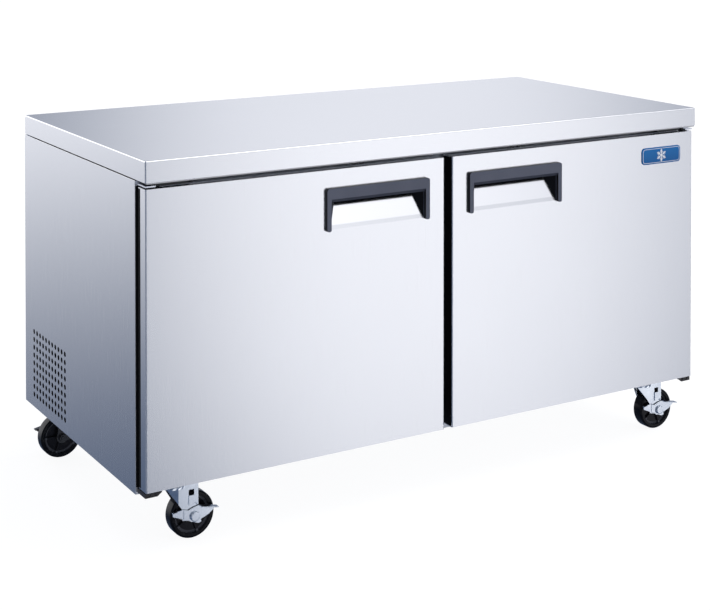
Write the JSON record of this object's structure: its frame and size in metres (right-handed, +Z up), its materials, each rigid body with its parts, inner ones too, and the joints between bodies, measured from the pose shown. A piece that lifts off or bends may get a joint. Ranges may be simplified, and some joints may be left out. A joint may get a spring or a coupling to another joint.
{
  "type": "under counter refrigerator",
  "caption": "Low refrigerated cabinet with a flat steel worktop, hinged insulated doors with recessed handles, wire shelves, a rear cooling unit and braked swivel casters.",
  "frame": {"origin": "on the floor, below the middle of the cabinet's bounding box", "axes": "+X to the right seen by a person facing the doors, -Y towards that person, +Z up"},
  "size_m": [1.53, 0.762, 0.849],
  "materials": {
    "stainless": "fine brushed",
    "galvanised": "galvanised sheet",
    "foam": "closed-cell foam",
    "liner": "smooth satin",
    "black_plastic": "fine texture",
    "hinge_steel": "dark coated",
    "zinc": "bright zinc",
    "fins": "bare",
    "motor": "satin",
    "black_enamel": "gloss",
    "copper": "drawn tube",
    "rubber": "matt",
    "coated_wire": "epoxy coated",
    "badge_blue": "gloss",
    "seal": "soft satin",
    "handle_plastic": "fine texture",
    "nylon": "smooth",
    "tyre": "smooth"
  },
  "bodies": {
    "root": {"worktop": "stainless", "left_side_panel": "stainless", "right_side_panel": "stainless", "back_panel": "galvanised", "base_panel": "galvanised", "cabinet_foam": "foam", "inner_liner": "liner", "front_frame": "stainless", "centre_mullion": "stainless", "rail_caps": "black_plastic", "hinge_brackets": "hinge_steel", "shelf_pilasters": "stainless", "shelf_clips": "zinc", "evaporator_coil": "fins", "evaporator_cover": "liner", "evaporator_motor": "motor", "temperature_controller": "black_plastic", "unit_tray": "galvanised", "compressor": "black_enamel", "condenser_coil": "black_enamel", "condenser_motor": "motor", "refrigerant_tubes": "copper", "condensate_pan": "galvanised", "power_cord": "rubber", "rear_grille": "galvanised", "caster_plates": "zinc", "screws": "zinc"},
    "evaporator_fan": {"evaporator_fan": "black_plastic"},
    "condenser_fan": {"condenser_fan": "fins"},
    "left_shelf": {"left_shelf": "coated_wire"},
    "right_shelf": {"right_shelf": "coated_wire"},
    "left_door": {"left_door_skin": "stainless", "left_door_foam": "foam", "left_door_liner": "liner", "left_door_gasket": "seal", "left_door_handle": "handle_plastic", "left_door_bushes": "nylon"},
    "right_door": {"right_door_skin": "stainless", "right_door_foam": "foam", "right_door_liner": "liner", "right_door_gasket": "seal", "right_door_handle": "handle_plastic", "right_door_bushes": "nylon", "badge": "badge_blue"},
    "front_left_fork": {"front_left_fork": "zinc", "front_left_axle": "zinc"},
    "front_left_wheel": {"front_left_wheel": "tyre"},
    "front_left_brake": {"front_left_brake": "zinc"},
    "front_right_fork": {"front_right_fork": "zinc", "front_right_axle": "zinc"},
    "front_right_wheel": {"front_right_wheel": "tyre"},
    "front_right_brake": {"front_right_brake": "zinc"},
    "rear_left_fork": {"rear_left_fork": "black_enamel", "rear_left_axle": "black_enamel"},
    "rear_left_wheel": {"rear_left_wheel": "tyre"},
    "rear_left_brake": {"rear_left_brake": "black_enamel"},
    "rear_right_fork": {"rear_right_fork": "black_enamel", "rear_right_axle": "black_enamel"},
    "rear_right_wheel": {"rear_right_wheel": "tyre"},
    "rear_right_brake": {"rear_right_brake": "black_enamel"}
  },
  "joints": [
    {"name": "left_door_swing", "type": "hinge", "parent": "root", "child": "left_door", "pos_m": [-0.746, -0.354, 0.4695], "axis": [0, 0, -1], "range_deg": [0, 115]},
    {"name": "right_door_swing", "type": "hinge", "parent": "root", "child": "right_door", "pos_m": [0.746, -0.354, 0.4695], "axis": [0, 0, 1], "range_deg": [0, 115]},
    {"name": "evaporator_fan_spin", "type": "hinge", "parent": "root", "child": "evaporator_fan", "pos_m": [-0.14, 0.236, 0.584], "axis": [0, 1, 0], "continuous": true},
    {"name": "condenser_fan_spin", "type": "hinge", "parent": "root", "child": "condenser_fan", "pos_m": [-0.578, 0.22, 0.239], "axis": [1, 0, 0], "continuous": true},
    {"name": "left_shelf_lift", "type": "slide", "parent": "root", "child": "left_shelf", "axis": [0, 0, 1], "range_m": [0, 0.02]},
    {"name": "right_shelf_lift", "type": "slide", "parent": "root", "child": "right_shelf", "axis": [0, 0, 1], "range_m": [0, 0.02]},
    {"name": "front_left_swivel", "type": "hinge", "parent": "root", "child": "front_left_fork", "pos_m": [-0.66, -0.281, 0.1205], "axis": [0, 0, 1], "continuous": true},
    {"name": "front_left_roll", "type": "hinge", "parent": "front_left_fork", "child": "front_left_wheel", "pos_m": [-0.62, -0.281, 0.052], "axis": [0, 1, 0], "continuous": true},
    {"name": "front_left_brake_press", "type": "hinge", "parent": "front_left_fork", "child": "front_left_brake", "pos_m": [-0.62, -0.281, 0.052], "axis": [0, 1, 0], "range_deg": [0, 20]},
    {"name": "front_right_swivel", "type": "hinge", "parent": "root", "child": "front_right_fork", "pos_m": [0.671, -0.281, 0.1205], "axis": [0, 0, 1], "continuous": true},
    {"name": "front_right_roll", "type": "hinge", "parent": "front_right_fork", "child": "front_right_wheel", "pos_m": [0.711, -0.281, 0.052], "axis": [0, 1, 0], "continuous": true},
    {"name": "front_right_brake_press", "type": "hinge", "parent": "front_right_fork", "child": "front_right_brake", "pos_m": [0.711, -0.281, 0.052], "axis": [0, 1, 0], "range_deg": [0, 20]},
    {"name": "rear_left_swivel", "type": "hinge", "parent": "root", "child": "rear_left_fork", "pos_m": [-0.66, 0.319, 0.1205], "axis": [0, 0, 1], "continuous": true},
    {"name": "rear_left_roll", "type": "hinge", "parent": "rear_left_fork", "child": "rear_left_wheel", "pos_m": [-0.7, 0.319, 0.052], "axis": [0, 1, 0], "continuous": true},
    {"name": "rear_left_brake_press", "type": "hinge", "parent": "rear_left_fork", "child": "rear_left_brake", "pos_m": [-0.7, 0.319, 0.052], "axis": [0, -1, 0], "range_deg": [0, 20]},
    {"name": "rear_right_swivel", "type": "hinge", "parent": "root", "child": "rear_right_fork", "pos_m": [0.66, 0.319, 0.1205], "axis": [0, 0, 1], "continuous": true},
    {"name": "rear_right_roll", "type": "hinge", "parent": "rear_right_fork", "child": "rear_right_wheel", "pos_m": [0.62, 0.319, 0.052], "axis": [0, 1, 0], "continuous": true},
    {"name": "rear_right_brake_press", "type": "hinge", "parent": "rear_right_fork", "child": "rear_right_brake", "pos_m": [0.62, 0.319, 0.052], "axis": [0, -1, 0], "range_deg": [0, 20]}
  ]
}
